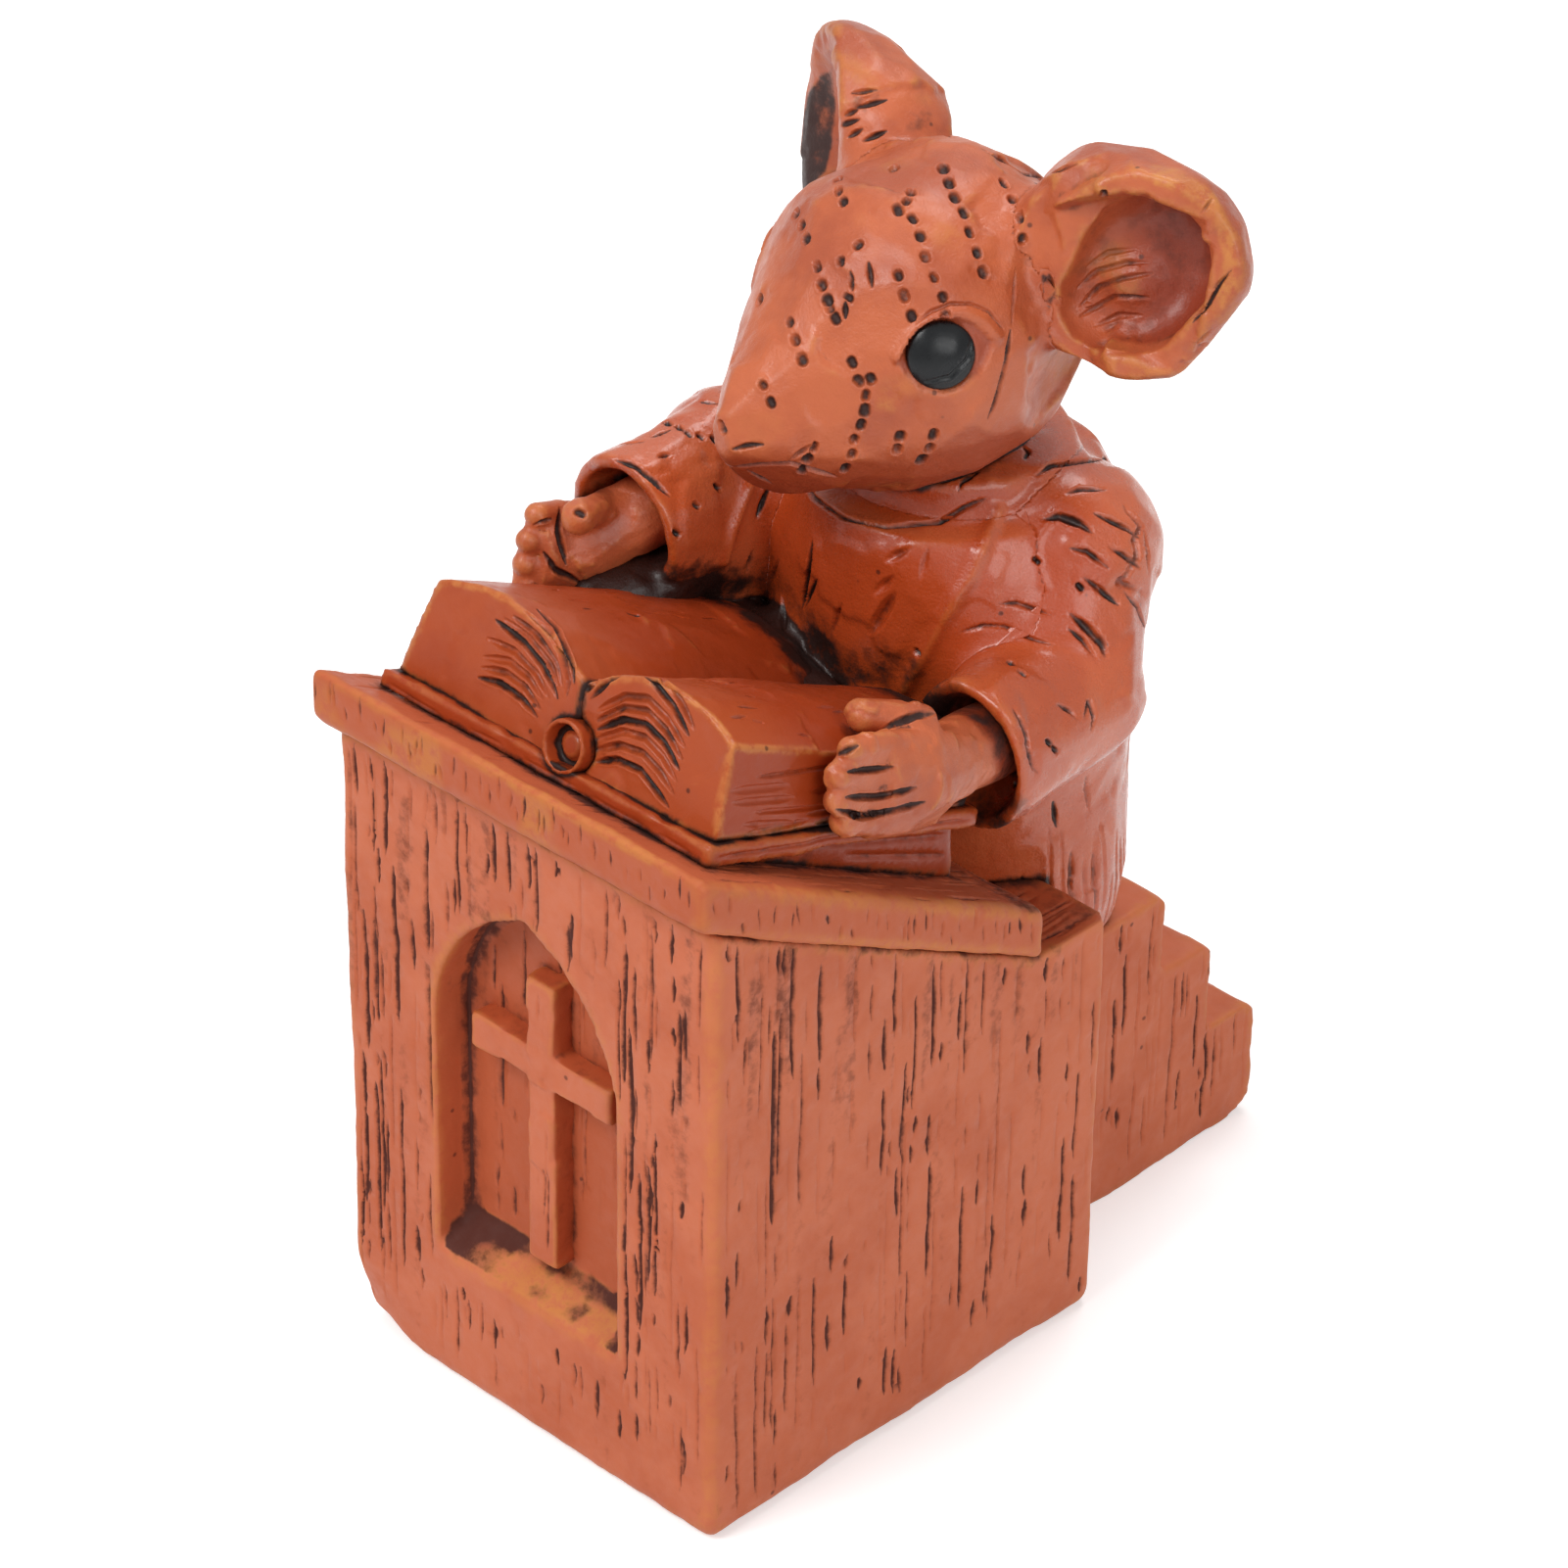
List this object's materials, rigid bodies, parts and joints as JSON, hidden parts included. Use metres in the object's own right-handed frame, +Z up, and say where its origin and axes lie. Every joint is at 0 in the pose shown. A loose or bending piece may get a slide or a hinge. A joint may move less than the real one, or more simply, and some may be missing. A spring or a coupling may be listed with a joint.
{
  "type": "mouse figurine",
  "caption": "Seated cast-resin mouse in a robe reading an open book at a pulpit with a sloping desk, an arched niche with a cross in front and steps behind; a free-standing ornament.",
  "frame": {"origin": "centre of the pulpit case's underside", "axes": "+Z up; the mouse and the front of the pulpit face -Y; +X is the mouse's left"},
  "size_m": [0.0481, 0.0721, 0.0969],
  "materials": {
    "pulpit_resin": "stained and lightly varnished cast resin, satin, with dark wash in the cuts",
    "robe_resin": "stained and varnished cast resin, glossy, with dark wash in the cuts",
    "mouse_resin": "stained and varnished cast resin, semi-gloss, with pale wear on the edges",
    "eye_black": "black gloss"
  },
  "bodies": {
    "root": {"pulpit_case": "pulpit_resin", "front_cross": "pulpit_resin", "desk_board": "pulpit_resin", "stair_block": "pulpit_resin", "book_rest": "robe_resin", "book_cover": "robe_resin", "left_page_block": "robe_resin", "right_page_block": "robe_resin", "spine_roll": "robe_resin", "robe_body": "robe_resin", "collar_band": "robe_resin", "left_sleeve": "robe_resin", "right_sleeve": "robe_resin", "left_paw": "mouse_resin", "right_paw": "mouse_resin", "head": "mouse_resin", "left_ear": "mouse_resin", "right_ear": "mouse_resin", "left_eye": "eye_black", "right_eye": "eye_black"}
  },
  "joints": []
}
